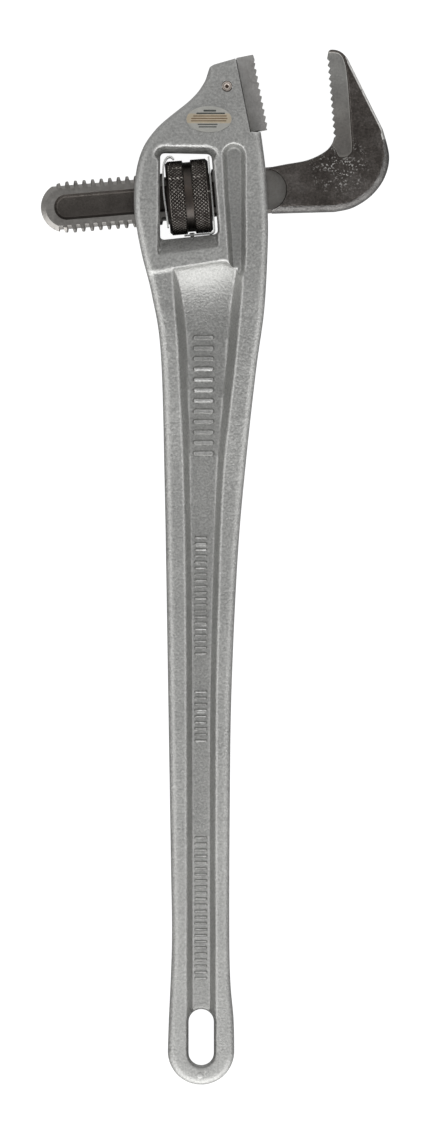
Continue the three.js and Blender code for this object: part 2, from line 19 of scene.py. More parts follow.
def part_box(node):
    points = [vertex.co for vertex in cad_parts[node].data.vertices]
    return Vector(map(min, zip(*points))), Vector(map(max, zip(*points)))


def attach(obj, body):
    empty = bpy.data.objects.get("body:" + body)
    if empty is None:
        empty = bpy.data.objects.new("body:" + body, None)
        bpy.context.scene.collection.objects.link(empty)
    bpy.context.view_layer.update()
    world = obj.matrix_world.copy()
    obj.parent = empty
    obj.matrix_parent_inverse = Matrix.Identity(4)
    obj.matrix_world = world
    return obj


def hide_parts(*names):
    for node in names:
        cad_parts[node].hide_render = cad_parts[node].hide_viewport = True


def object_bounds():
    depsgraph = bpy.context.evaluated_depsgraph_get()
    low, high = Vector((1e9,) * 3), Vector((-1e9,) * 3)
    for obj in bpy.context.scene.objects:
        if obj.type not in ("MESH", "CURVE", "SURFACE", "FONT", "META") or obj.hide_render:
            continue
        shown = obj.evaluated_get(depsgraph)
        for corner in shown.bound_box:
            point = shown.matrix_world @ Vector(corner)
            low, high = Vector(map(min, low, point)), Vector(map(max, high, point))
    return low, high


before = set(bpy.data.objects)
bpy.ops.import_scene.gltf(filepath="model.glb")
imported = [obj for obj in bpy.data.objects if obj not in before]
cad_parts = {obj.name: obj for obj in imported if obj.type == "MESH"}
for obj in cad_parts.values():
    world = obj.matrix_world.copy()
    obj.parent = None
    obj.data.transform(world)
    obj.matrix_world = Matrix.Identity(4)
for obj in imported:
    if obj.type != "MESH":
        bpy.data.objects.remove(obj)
cad_low, cad_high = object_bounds()

# ------------------------------------------------------------------ driving dimensions

MM = 0.001
nut_low, nut_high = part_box("adjusting_nut")
DATUM = (nut_low + nut_high) / 2
SHANK_TILT = math.radians(4.8)

HEAD_HALF = 23.0              # half thickness over the cheeks
TAPER_Y = 32.0                # above this the cheeks thin
TAPER = 9.0 / 54.0
GRIP_HALF = 13.5              # half thickness over the grip's flanges
WEB_HALF = 4.5
OUTER_ROUND = 5.0             # rounding of the casting's outer edges
EYE = (7.1, -503.9, 19.5)     # x, y, radius of the handle's end
HANG_HOLE = (7.2, -495.7, 15.1, 33.4)
COIL_X, COIL_BORE = 2.1, 4.4  # the coil spring's middle, and its bore's radius
GAP = 0.3                     # clearance between moving pieces

HEEL_SEAT = (36.0, 37.8)
HEEL_TILT = math.radians(11.2)
HEEL_LENGTH = 44.6
HEEL_HALF = 13.6
HEEL_FACE = 11.0
HEEL_PIN = (-8.1, 29.2, 3.0)  # t, s, radius
HEEL_TIPS, FIRST_TIP = 10, 3.4
JOINT = 0.55                  # open joint seen between the heel jaw and its seat

PITCH = 5.08                  # of the shank's thread
CREST, ROOT = 15.35, 12.9
CREST_WIDTH, ROOT_WIDTH = 1.2, 2.7
PLAIN_RADIUS = 13.6           # shank beyond the threads
RACK_START, RACK_LAST = -87.6, 46.0
FLAT_HALF = 7.2               # half thickness over the shank's flats
NUT_RADIUS, NUT_HALF = 21.85, 12.7

FORGING_START = 47.9          # where the shank's bar meets the forging
HOOK_HALF = 12.7
BAND_HALF = 11.0              # half thickness of the milled band by the teeth
MILL = (45.6, 0.3, 12.4)      # u, v, radius of the milled disc
TOOTH_PITCH, TOOTH_DEPTH = 4.0, 1.35
HOOK_FACE, HOOK_TOP_TIP, HOOK_TIPS = 88.15, 74.6, 12

LEAF = 0.95                   # the leaf springs' thickness
LEAF_HALF = 15.0              # and half their width
LEAF_SLOT_HALF = 8.4
LABEL = (11.8, 45.4, 13.4, 7.8)   # x, y, half length, half height


# ------------------------------------------------------------------------ plane curves

def spline(points, step=1.0):
    """A Catmull-Rom curve through the points, sampled about every step."""
    p = np.array(points, float)
    p = np.vstack([p[0], p, p[-1]])
    out = []
    for a, b, c, d in zip(p, p[1:], p[2:], p[3:]):
        n = max(1, round(np.linalg.norm(c - b) / step))
        t = (np.arange(n) / n)[:, None]
        out.append(
            b + t * (c - a) / 2 + t ** 2 * (a - 2.5 * b + 2 * c - d / 2)
            + t ** 3 * (1.5 * b - a / 2 - 1.5 * c + d / 2))
    return np.vstack(out + [p[-1:]])


def line(a, b, step=1.0):
    t = np.linspace(0, 1, max(2, round(math.dist(a, b) / step) + 1))[:, None]
    return np.array(a) * (1 - t) + np.array(b) * t


def arc(x, y, radius, start, end, step=1.0):
    """An arc from angle start to end, in degrees."""
    n = max(4, round(abs(math.radians(end - start)) * radius / step))
    a = np.radians(np.linspace(start, end, n + 1))
    return np.column_stack([x + radius * np.cos(a), y + radius * np.sin(a)])


def capsule(x, y0, y1, radius, step=1.0):
    """An upright slot with round ends, its end centres at y0 and y1."""
    return np.vstack([
        arc(x, y1, radius, 0, 180, step), arc(x, y0, radius, 180, 360, step)])


def lying_capsule(x, y, reach, radius, step):
    """A slot along x with round ends, whose centres lie reach from its middle."""
    return capsule(y, x - reach, x + reach, radius, step)[:, ::-1]


def rectangle(x0, y0, x1, y1):
    return [(x0, y0), (x1, y0), (x1, y1), (x0, y1)]


def curve_to(a, b, c, n=8):
    """From a to c, starting and ending towards b."""
    a, b, c = map(np.array, (a, b, c))
    t = np.linspace(0, 1, n)[:, None]
    return (1 - t) ** 2 * a + 2 * t * (1 - t) * b + t ** 2 * c


def round_corners(corners, radius, n=6):
    """A polygon with its corners rounded."""
    corners = np.array(corners, float)
    out = []
    for i, corner in enumerate(corners):
        before = corners[i - 1] - corner
        after = corners[(i + 1) % len(corners)] - corner
        start = corner + before / np.linalg.norm(before) * radius
        end = corner + after / np.linalg.norm(after) * radius
        out.append(curve_to(start, corner, end, n))
    return np.vstack(out)


def resample(loop, step):
    """The closed loop with points about every step along it."""
    closed = np.vstack([loop, loop[:1]])
    lengths = np.linalg.norm(np.diff(closed, axis=0), axis=1)
    run = np.concatenate([[0], np.cumsum(lengths)])
    at = np.linspace(0, run[-1], max(8, round(run[-1] / step)), endpoint=False)
    return np.column_stack([np.interp(at, run, closed[:, k]) for k in (0, 1)])


def distance(curve, points, closed=True):
    """Each point's distance to a curve whose own points lie close together."""
    tree = KDTree(len(curve))
    for i, (x, y) in enumerate(curve):
        tree.insert((x, y, 0), i)
    tree.balance()
    near = np.array([tree.find((x, y, 0))[1] for x, y in points])
    best = np.full(len(points), np.inf)
    for shift in (-1, 0):
        start, end = near + shift, near + shift + 1
        if closed:
            start, end = start % len(curve), end % len(curve)
        else:
            start, end = (np.clip(k, 0, len(curve) - 1) for k in (start, end))
        a, ab = curve[start], curve[end] - curve[start]
        length2 = np.maximum((ab ** 2).sum(1), 1e-12)
        t = np.clip(((points - a) * ab).sum(1) / length2, 0, 1)[:, None]
        best = np.minimum(best, np.linalg.norm(a + t * ab - points, axis=1))
    return best


def inside(loop, points):
    """Which points lie inside the closed loop."""
    x0, y0 = loop.T
    x1, y1 = np.roll(loop, -1, axis=0).T
    with np.errstate(divide="ignore", invalid="ignore"):
        slope = np.where(y1 == y0, 0, (x1 - x0) / (y1 - y0))
    out = np.zeros(len(points), bool)
    low, high = loop.min(0), loop.max(0)
    near = np.flatnonzero(((points > low) & (points < high)).all(1))
    for i in range(0, len(near), 4000):
        some = near[i:i + 4000]
        x, y = points[some, 0:1], points[some, 1:2]
        crossed = ((y0 > y) != (y1 > y)) & (x < slope * (y - y0) + x0)
        out[some] = crossed.sum(1) % 2 == 1
    return out


def depth(loop, points):
    """Distance to the loop, positive inside it and negative outside."""
    return np.where(inside(loop, points), 1, -1) * distance(loop, points)


def parallel(loop, offset, step):
    """The loop moved inwards: its points, and whether each joins to the next."""
    loop = resample(loop, step)
    along = np.roll(loop, -1, axis=0) - np.roll(loop, 1, axis=0)
    normal = np.column_stack([-along[:, 1], along[:, 0]])
    normal /= np.linalg.norm(normal, axis=1)[:, None]
    x, y = loop.T
    area = (x * np.roll(y, -1) - y * np.roll(x, -1)).sum()
    points = loop + normal * offset * math.copysign(1, area)
    kept = distance(loop, points) > abs(offset) * 0.97
    return trim((points, np.full(len(points), True)), kept)


def parallels(loop, step, *offsets):
    return [parallel(loop, offset, step) for offset in offsets]


def trim(curve, kept):
    """What is left of a curve of points and joins where only some points are kept."""
    points, joined = curve
    joined = joined & kept & np.roll(kept, -1)
    return points[kept], joined[kept]


# ---------------------------------------------------------------- smooth step functions

def ease(t):
    t = np.clip(t, 0, 1)
    return t * t * (3 - 2 * t)


def softplus(s, k):
    return k * np.logaddexp(0, s / k)


def smooth_max(a, b, k):
    h = np.clip(0.5 + 0.5 * (a - b) / k, 0, 1)
    return b + (a - b) * h + k * h * (1 - h)


def smooth_min(a, b, k):
    return -smooth_max(-a, -b, k)


def quarter_round(d, radius):
    """How far a rounded edge has dropped at distance d from it."""
    inner = np.clip(radius - d, 0, radius)
    return radius - np.sqrt(radius ** 2 - inner ** 2)


def waviness(points, size, height):
    """Slow unevenness of a cast or forged face."""
    return height * np.array([noise((x / size, y / size, 0.5)) for x, y in points])


# -------------------------------------------------------------------------- mesh making

def make_object(name, points, faces):
    """An object of a closed mesh, its faces turned outwards."""
    mesh = bpy.data.meshes.new(name)
    mesh.from_pydata(np.asarray(points, float).tolist(), [], [list(map(int, f)) for f in faces])
    mesh.validate()
    mesh.calc_loop_triangles()
    at = np.empty(len(mesh.vertices) * 3)
    mesh.vertices.foreach_get("co", at)
    corners = np.empty(len(mesh.loop_triangles) * 3, int)
    mesh.loop_triangles.foreach_get("vertices", corners)
    a, b, c = at.reshape(-1, 3)[corners.reshape(-1, 3)].transpose(1, 0, 2)
    if (a * np.cross(b, c)).sum() < 0:
        mesh.flip_normals()
    piece = bpy.data.objects.new(name, mesh)
    bpy.context.scene.collection.objects.link(piece)
    return piece


def skin(name, rows, ring=False):
    """A skin over rows of points, each row a loop; the last row joins the first, or
    both are capped."""
    rows = np.asarray(rows, float)
    m, n, _ = rows.shape
    i = np.arange(m if ring else m - 1)[:, None]
    j = np.arange(n)[None, :]
    after, beside = (i + 1) % m * n, (j + 1) % n
    faces = np.stack(
        [i * n + j, i * n + beside, after + beside, after + j], -1).reshape(-1, 4).tolist()
    if not ring:
        faces += [list(range(n))[::-1], list(range((m - 1) * n, m * n))]
    return make_object(name, rows.reshape(-1, 3), faces)


def lathe(name, profile, sides):
    """A solid of revolution about z; the profile of (radius, z) starts and ends on it."""
    turn = np.linspace(0, 2 * math.pi, sides, endpoint=False)
    rows = [
        np.column_stack([r * np.cos(turn), r * np.sin(turn), np.full(sides, z)])
        for r, z in ((max(r, 0.01), z) for r, z in profile)]
    return skin(name, rows)


def rod(radius, low, high, sides):
    return lathe("tool", [(0, low), (radius, low), (radius, high), (0, high)], sides)


def prism(loop, low, high, name="tool"):
    """A closed prism over a plane outline, from z = low to z = high."""
    return skin(name, [np.column_stack([loop, np.full(len(loop), z)]) for z in (low, high)])


def loft(name, loops):
    """A closed solid through outlines of equal length, each at its own height."""
    return skin(name, [np.column_stack([loop, np.full(len(loop), z)]) for loop, z in loops])


def along_u(piece):
    """Turns a piece drawn in (v, z), and built along the third axis, to lie along u."""
    axes = Matrix(((0, 0, 1, 0), (1, 0, 0, 0), (0, 1, 0, 0), (0, 0, 0, 1)))
    return moved(piece, axes)


def moved(piece, matrix):
    piece.data.transform(matrix)
    return piece


def mirrored(make):
    """The same tool above and below the middle plane."""
    upper, lower = make(), make()
    moved(lower, Matrix.Scale(-1, 4, (0, 0, 1)))
    lower.data.flip_normals()
    return combine(upper, lower, "UNION")


def drop(piece):
    mesh = piece.data
    bpy.data.objects.remove(piece)
    bpy.data.meshes.remove(mesh)


def combine(piece, tool, operation="DIFFERENCE"):
    """Joins or cuts piece with tool, and drops the tool."""
    modifier = piece.modifiers.new("combine", "BOOLEAN")
    modifier.object = tool
    modifier.operation = operation
    modifier.solver = "MANIFOLD"
    apply_modifiers(piece)
    drop(tool)
    return piece


def bevelled(piece, width):
    modifier = piece.modifiers.new("bevel", "BEVEL")
    modifier.width = width
    modifier.segments = 2
    modifier.limit_method = "ANGLE"
    modifier.angle_limit = math.radians(30)
    apply_modifiers(piece)
    return piece


def apply_modifiers(piece):
    graph = bpy.context.evaluated_depsgraph_get()
    made = bpy.data.meshes.new_from_object(piece.evaluated_get(graph))
    old = piece.data
    piece.modifiers.clear()
    piece.data = made
    made.name = piece.name
    bpy.data.meshes.remove(old)


def face_centres(piece):
    return np.array([tuple(face.center) for face in piece.data.polygons])


def paint(piece, kinds):
    """Gives each face the material of its kind's number."""
    piece.data.polygons.foreach_set("material_index", np.array(kinds, np.int32))


def smooth(piece, angle):
    """Smooth shading that keeps edges sharper than angle."""
    piece.data.shade_smooth()
    piece.data.set_sharp_from_angle(angle=math.radians(angle))
    return piece


def relief_body(name, loops, curves, free, height, flash=0.0):
    """A closed body, alike above and below z = 0, whose faces stand height(points) off it.

    loops are its outline and its through holes. curves lie along the relief's edges, so
    that the mesh follows them, and free points fill the rest. flash is how far the
    parting line stands out of the walls.
    """
    curves = [(loop, np.full(len(loop), True)) for loop in loops] + curves
    edges, start = [], 0
    for points, joined in curves:
        n = len(points)
        edges += [(start + i, start + (i + 1) % n) for i in np.flatnonzero(joined).tolist()]
        start += n
    points = np.vstack([points for points, _ in curves] + [free])
    flat, _, faces, *_ = delaunay_2d_cdt(
        [Vector(p) for p in points], edges, [], 0, 2e-3, False)
    flat = np.array([tuple(p) for p in flat])
    faces = np.array(faces)
    middles = flat[faces].mean(1)
    kept = inside(loops[0], middles)
    for hole in loops[1:]:
        kept &= ~inside(hole, middles)
    faces = faces[kept]
    a, b, c = flat[faces].transpose(1, 0, 2)
    turn = (b - a)[:, 0] * (c - a)[:, 1] - (b - a)[:, 1] * (c - a)[:, 0]
    faces[turn < 0] = faces[turn < 0][:, ::-1]
    used, faces = np.unique(faces, return_inverse=True)
    faces = faces.reshape(-1, 3)
    flat = flat[used]
    rise = height(flat)
    n = len(flat)
    points = [np.column_stack([flat, rise]), np.column_stack([flat, -rise])]
    solid = faces.tolist() + (faces[:, ::-1] + n).tolist()

    # Walls: one column of points down each boundary vertex.
    sides = np.vstack([faces[:, [0, 1]], faces[:, [1, 2]], faces[:, [2, 0]]]).tolist()
    known = set(map(tuple, sides))
    border = [(i, j) for i, j in sides if (j, i) not in known]
    outward = np.zeros((n, 2))
    for i, j in border:
        dx, dy = flat[j] - flat[i]
        outward[[i, j]] += (dy, -dx)
    rim = np.array(sorted({i for i, _ in border}))
    column = {v: k for k, v in enumerate(rim.tolist())}
    out = outward[rim] / np.linalg.norm(outward[rim], axis=1)[:, None]
    levels = [0.6, 0.25, 0.06, 0.0, -0.06, -0.25, -0.6]
    for level in levels:
        bulge = flash if level == 0 else 0.0
        points.append(np.column_stack([flat[rim] + out * bulge, rise[rim] * level]))
    starts = [0] + [2 * n + k * len(rim) for k in range(len(levels))] + [n]

    def vertex(row, v):
        return starts[row] + (v if row in (0, len(levels) + 1) else column[v])

    for i, j in border:
        for row in range(len(levels) + 1):
            solid.append([
                vertex(row, j), vertex(row, i), vertex(row + 1, i), vertex(row + 1, j)])
    return make_object(name, np.vstack(points), solid)


def grid_points(low, high, spacing, clear_of):
    """A hexagonal grid over a rectangle, kept a little clear of the curves' points."""
    rows = []
    for k, y in enumerate(np.arange(low[1], high[1], spacing * math.sqrt(3) / 2)):
        x = np.arange(low[0] + (k % 2) * spacing / 2, high[0], spacing)
        rows.append(np.column_stack([x, np.full(len(x), y)]))
    points = np.vstack(rows)
    near = KDTree(sum(len(p) for p, _ in clear_of))
    for p, _ in clear_of:
        for x, y in p:
            near.insert((x, y, 0), 0)
    near.balance()
    gap = np.array([near.find((x, y, 0))[2] for x, y in points])
    return points[gap > spacing * 0.55]


# ---------------------------------------------------------------- places in the model

TO_TOOL = Matrix.Translation(DATUM) @ Matrix.Scale(MM, 4)
SHANK_IN_TOOL = Matrix.Rotation(SHANK_TILT, 4, "Z")
HEEL_IN_TOOL = Matrix.Translation((*HEEL_SEAT, 0)) @ Matrix.Rotation(HEEL_TILT, 4, "Z")
TO_SHANK = TO_TOOL @ SHANK_IN_TOOL
TO_HEEL = TO_TOOL @ HEEL_IN_TOOL


def settle(piece, place, node, body, materials):
    """Places a finished piece, gives it its materials, hides the imported part it stands for, and
    hangs it on the body it rides on.
    """
    moved(piece, place)
    indices = [p.material_index for p in piece.data.polygons]
    piece.data.materials.clear()
    for material in materials:
        piece.data.materials.append(material)
    piece.data.polygons.foreach_set("material_index", indices)
    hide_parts(node)
    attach(piece, body)


# --------------------------------------------------------------------------- materials

class Nodes:
    """A node tree, short ways to add to it, and the place its patterns are drawn at."""

    def __init__(self, tree, place):
        self.tree = tree
        self.place = self.add("TexCoord").outputs[place]

    def add(self, kind, inputs=(), **settings):
        made = self.tree.nodes.new("ShaderNode" + kind)
        for key, value in settings.items():
            setattr(made, key, value)
        for key, value in dict(inputs).items():
            if isinstance(value, bpy.types.NodeSocket):
                self.tree.links.new(value, made.inputs[key])
            else:
                made.inputs[key].default_value = value
        return made

    def noise(self, size, detail=3.0):
        """Cloudy noise from 0 to 1 whose features are about size metres across."""
        return self.add("TexNoise", {
            "Vector": self.place, "Scale": 1 / size, "Detail": detail, "Roughness": 0.6,
        }).outputs[0]

    def ramp(self, value, stops):
        """A colour, or a grey, for each value between the stops' positions."""
        made = self.add("ValToRGB", {"Fac": value})
        points = made.color_ramp.elements
        while len(points) < len(stops):
            points.new(0.5)
        for point, (at, tone) in zip(points, stops):
            point.position = at
            tone = (tone,) * 3 if isinstance(tone, (int, float)) else tone
            point.color = (*tone, 1)
        return made.outputs[0]

    def graded(self, value, start, end, at_start, at_end, **settings):
        """Runs from at_start to at_end while value runs from start to end."""
        return self.add("MapRange", {
            "Value": value, "From Min": start, "From Max": end,
            "To Min": at_start, "To Max": at_end}, **settings).outputs[0]

    def mix(self, a, b, factor, blend="MIX"):
        inputs = {6: a, 7: b, 0: factor}
        return self.add("Mix", inputs, data_type="RGBA", blend_type=blend).outputs[2]

    def near(self, centre, reach):
        """1 close to the centre, fading to 0 at reach from it."""
        off = self.add("VectorMath", {0: self.place, 1: centre}, operation="DISTANCE")
        return self.graded(off.outputs["Value"], reach * 0.35, reach, 1.0, 0.0)

    def bump(self, height, distance, under=None):
        inputs = {"Height": height, "Distance": distance, "Strength": 1.0}
        if under:
            inputs["Normal"] = under
        return self.add("Bump", inputs).outputs[0]


def metal(name, tones, rough, patch=0.01, grain=0.0011, grit=0.00002, contrast=0.2,
          edge=None, foot=None, specks=None, painted_shade=None, metallic=1.0):
    """A metal in two or three tones of patches, with grain in colour, gloss and height.

    tones run from the darkest patches to the lightest, rough is the range of roughness,
    patch and grain are sizes in metres, grit is the height of the grain in metres, and
    contrast is how much the grain darkens. edge is the tone of convex edges, partly worn
    bare and partly a painted highlight, and foot that of a painted highlight along the
    concave lines at the foot of walls. specks are (tone, centre, reach) of bright flecks
    scattered about a place, and the argument after specks is (tone, centre, reach) of
    painted shade darkening a place.
    """
    material = bpy.data.materials.new(name)
    material.use_nodes = True
    n = Nodes(material.node_tree, "Object")
    shader = n.tree.nodes["Principled BSDF"]
    shader.inputs["Metallic"].default_value = metallic
    patches = n.noise(patch, 5.0)
    span = np.linspace(0.34, 0.66, len(tones))
    tone = n.ramp(patches, list(zip(span.tolist(), tones)))
    fine = n.noise(grain, 2.0)
    shade = n.ramp(fine, [(0.3, 1 - contrast), (0.7, 1.0)])
    tone = n.mix(tone, shade, 1.0, "MULTIPLY")
    # Painted shade: the tone is darkened about a place.
    if painted_shade:
        tone = n.mix(tone, (*painted_shade[0], 1), n.near(*painted_shade[1:]), "MULTIPLY")
    if specks:
        flecks = n.ramp(n.noise(0.0011, 2.0), [(0.58, 0.0), (0.63, 1.0)])
        clumps = n.ramp(n.noise(0.006, 2.0), [(0.42, 0.0), (0.55, 1.0)])
        where = n.mix(flecks, clumps, 1.0, "MULTIPLY")
        where = n.mix(where, n.near(*specks[1:]), 1.0, "MULTIPLY")
        tone = n.mix(tone, (*specks[0], 1), where)
    if edge or foot:
        convex = n.add("NewGeometry").outputs["Pointiness"]
    # Painted highlight: lighter lines along the concave foot of walls.
    if foot:
        tone = n.mix(tone, (*foot, 1), n.ramp(convex, [(0.40, 1.0), (0.472, 0.0)]))
    # Convex edges lightened: partly worn bare, partly a painted highlight.
    if edge:
        worn = n.ramp(convex, [(0.52, 0.0), (0.60, 1.0)])
        broken = n.ramp(n.noise(0.003, 3.0), [(0.35, 0.2), (0.6, 1.0)])
        tone = n.mix(tone, (*edge, 1), n.mix(worn, broken, 1.0, "MULTIPLY"))
    slow = n.bump(n.noise(grain * 5, 3.0), grit)
    for key, value in (
            ("Base Color", tone), ("Normal", n.bump(fine, grit, under=slow)),
            ("Roughness", n.graded(n.mix(fine, patches, 0.4), 0.35, 0.65, *rough))):
        n.tree.links.new(value, shader.inputs[key])
    return material


# Its light edge tone is a painted highlight on convex edges, and its foot tone a painted highlight
# at the foot of walls.
CAST = metal(
    "cast_aluminium", [(0.50, 0.50, 0.487), (0.55, 0.55, 0.535)], (0.44, 0.58),
    patch=0.05, grain=0.0013, grit=0.0003, contrast=0.34, edge=(0.85, 0.85, 0.84),
    foot=(0.8, 0.8, 0.79))
JAW = metal(
    "jaw_steel", [(0.40, 0.388, 0.375), (0.46, 0.448, 0.434)], (0.38, 0.52),
    patch=0.012, grit=0.00008, contrast=0.16, edge=(0.5, 0.5, 0.49))
# Its edge tone lightens the forging's convex edges: partly wear, partly a painted highlight.
OXIDE = metal(
    "dark_oxide", [(0.085, 0.075, 0.068), (0.12, 0.107, 0.098), (0.17, 0.155, 0.145)],
    (0.34, 0.48), patch=0.018, grit=0.0004, contrast=0.4, edge=(0.4, 0.39, 0.37),
    specks=((0.6, 0.59, 0.57), tuple(TO_SHANK @ Vector((90, 11, 12))), 0.02))
# A lighter copy of the dark oxide for the hook's rounded outer rim: painted highlight.
LIT_RIM_OXIDE = metal(
    "rim_oxide_painted_highlight", [(0.125, 0.12, 0.116), (0.165, 0.16, 0.155), (0.22, 0.214, 0.208)],
    (0.34, 0.48), grit=0.0004, contrast=0.45, edge=(0.42, 0.41, 0.4))
FLOOR_OXIDE = metal(
    "groove_oxide", [(0.098, 0.088, 0.08), (0.127, 0.115, 0.105)], (0.4, 0.55),
    grit=0.00018, contrast=0.25)
GROUND = metal(
    "ground_shank", [(0.30, 0.287, 0.27), (0.37, 0.357, 0.34)], (0.36, 0.5),
    grit=0.0001, contrast=0.16)
# The milled band is painted darker near its lower end by the throat: painted shade.
BAND_STEEL = metal(
    "band_steel", [(0.38, 0.375, 0.36), (0.44, 0.435, 0.415)], (0.38, 0.52),
    patch=0.012, grit=0.00008, contrast=0.16, edge=(0.5, 0.5, 0.49),
    painted_shade=((0.64, 0.615, 0.6), tuple(TO_SHANK @ Vector((93, 14, 11))), 0.05))
# Light steel for the hook's upper back edge: painted highlight.
BACK_EDGE_HIGHLIGHT = metal(
    "back_edge_painted_highlight", [(0.6, 0.59, 0.57), (0.78, 0.77, 0.75)], (0.3, 0.42),
    patch=0.006, grit=0.0001, contrast=0.3)
MILLED = metal(
    "milled_shank", [(0.19, 0.175, 0.165), (0.25, 0.235, 0.22)], (0.36, 0.5), grit=0.0001)
# Its edge tone lightens the knurl's peaks: partly wear, partly a painted highlight.
NUT = metal(
    "nut_steel", [(0.034, 0.029, 0.026), (0.05, 0.043, 0.039), (0.065, 0.057, 0.052)],
    (0.3, 0.42), patch=0.008, grit=0.00006, edge=(0.6, 0.57, 0.53))
WAIST = metal(
    "nut_waist", [(0.06, 0.053, 0.049), (0.085, 0.076, 0.07), (0.115, 0.095, 0.082)],
    (0.3, 0.42), patch=0.012, grit=0.00005, contrast=0.14)
SPRING = metal(
    "spring_steel", [(0.82, 0.82, 0.80), (0.92, 0.92, 0.90)], (0.24, 0.34),
    contrast=0.1, metallic=0.3)
COPPER = metal(
    "copper_pin", [(0.60, 0.53, 0.48), (0.74, 0.66, 0.60)], (0.26, 0.36),
    patch=0.002, grain=0.0006, grit=0.00003)
# Dark copper for the pin's hollow end: painted shade.
DIMPLE_SHADE = metal(
    "pin_dimple_painted_shade", [(0.16, 0.12, 0.10), (0.26, 0.2, 0.165)], (0.35, 0.5),
    patch=0.002, grain=0.0005, grit=0.00004)
FOIL = metal(
    "foil", [(0.46, 0.46, 0.43), (0.52, 0.515, 0.48)], (0.35, 0.5),
    patch=0.006, contrast=0.08, metallic=0.6)
TAN = metal(
    "foil_band", [(0.52, 0.45, 0.34), (0.58, 0.50, 0.38)], (0.35, 0.5),
    patch=0.006, contrast=0.08, metallic=0.5)
INK = metal(
    "foil_ink", [(0.05, 0.055, 0.05), (0.09, 0.095, 0.09)], (0.4, 0.55),
    patch=0.003, metallic=0.2)
BROWN = metal(
    "foil_brown", [(0.17, 0.11, 0.06), (0.24, 0.16, 0.09)], (0.4, 0.55),
    patch=0.003, metallic=0.2)


# ------------------------------------------------------------------------------ handle

BACK_EDGE = [
    (11.0, 72.5), (8.6, 66.5), (1.2, 57.2), (-19.5, 39.5), (-29.5, 21.8), (-32.4, -4.7),
    (-28.3, -31.3), (-21.8, -57.8), (-16.5, -93.2), (-14.2, -172.9), (-12.4, -279.0),
    (-10.6, -391.0), (-10.0, -440.0), (-11.9, -488.0), (EYE[0] - EYE[2], EYE[1]),
]
FRONT_EDGE = [
    (EYE[0] + EYE[2], EYE[1]), (26.2, -485.0), (23.8, -447.0), (24.1, -340.0),
    (25.4, -279.0), (28.9, -208.3), (33.6, -155.2), (39.5, -102.0), (44.3, -66.7),
    (46.3, -31.0), (46.4, -9.0), (45.2, 15.0), (43.4, 30.0), (42.2, 38.4),
]
# Past the heel jaw's seat, to be cut back to it.
BEYOND_SEAT = [(48.0, 39.2), (48.0, 60.0), (38.0, 84.2), (27.4, 81.5), (14.6, 77.8), (12.2, 76.3)]
WEB_BACK = [
    (-10.0, -42.5), (-8.5, -66.0), (-7.0, -85.0), (-5.6, -115.0), (-3.4, -165.0),
    (-2.0, -260.0), (-1.6, -470.0), (-1.6, -504.5),
]
WEB_FRONT = [
    (16.1, -504.5), (16.1, -470.0), (16.0, -340.0), (17.0, -260.0), (20.0, -170.0),
    (24.5, -125.0), (28.4, -90.0), (31.5, -52.0), (30.8, -40.0),
]
# Plain raised bars across the web: y from, y to, spacing, middle x, half length, radius.
BARS = [
    (-83, -157, 6.2, 8.6, 4.8, 1.5), (-201, -270, 3.6, 7.0, 2.9, 0.85),
    (-292, -323, 3.6, 7.0, 2.9, 0.85), (-378, -461, 3.6, 7.0, 2.9, 0.85),
]
BAR_RISE = 1.0
MARK = (6.5, -517.7, 1.7)     # a plain raised dot by the eye: x, y, radius
MARK_RISE = 0.6
WINDOW = [(-17.1, 26.1), (13.2, 25.5), (17.3, -22.1), (-17.1, -25.7)]
SILL = [(-18.6, -35.6), (17.4, -30.8), (17.4, -14), (-18.6, -14)]
GROOVE_TOP = (26.5, 24.2, 7.1)          # x, y, radius
GROOVE_BACK = [(20.6, 0), (22.6, -30), (23.2, -44)]
GROOVE_END = [(24.5, -48), (31, -48)]
GROOVE_FRONT = [(33.2, -44), (33.8, -30), (33.7, 0)]
GROOVE_FLOOR = 16.2


GRIP_END, SHOULDER = -190, 150          # the flanges rise from GRIP_END up the shoulder
BACK_RISE, FRONT_RISE = 8.0, 9.5        # by this much
RAMP_RISE, RAMP_LENGTH = 16.5, 14       # the web's ramp up to the cheek
WEB_WALL, GROOVE_WALL, LIP = 3.0, 2.8, 3.0      # slopes, as rise over run
SILL_SLOPE, SILL_SIDE = 1.05, 5.0
DRAFT, TOP_DRAFT = 1.0, 2.5   # width of the window's lip, and how much more it is on top


def bars():
    """The middle, half length and end radius of each raised bar."""
    for start, stop, spacing, x, half, radius in BARS:
        for y in np.arange(start, stop, -spacing):
            yield x, y, half, radius


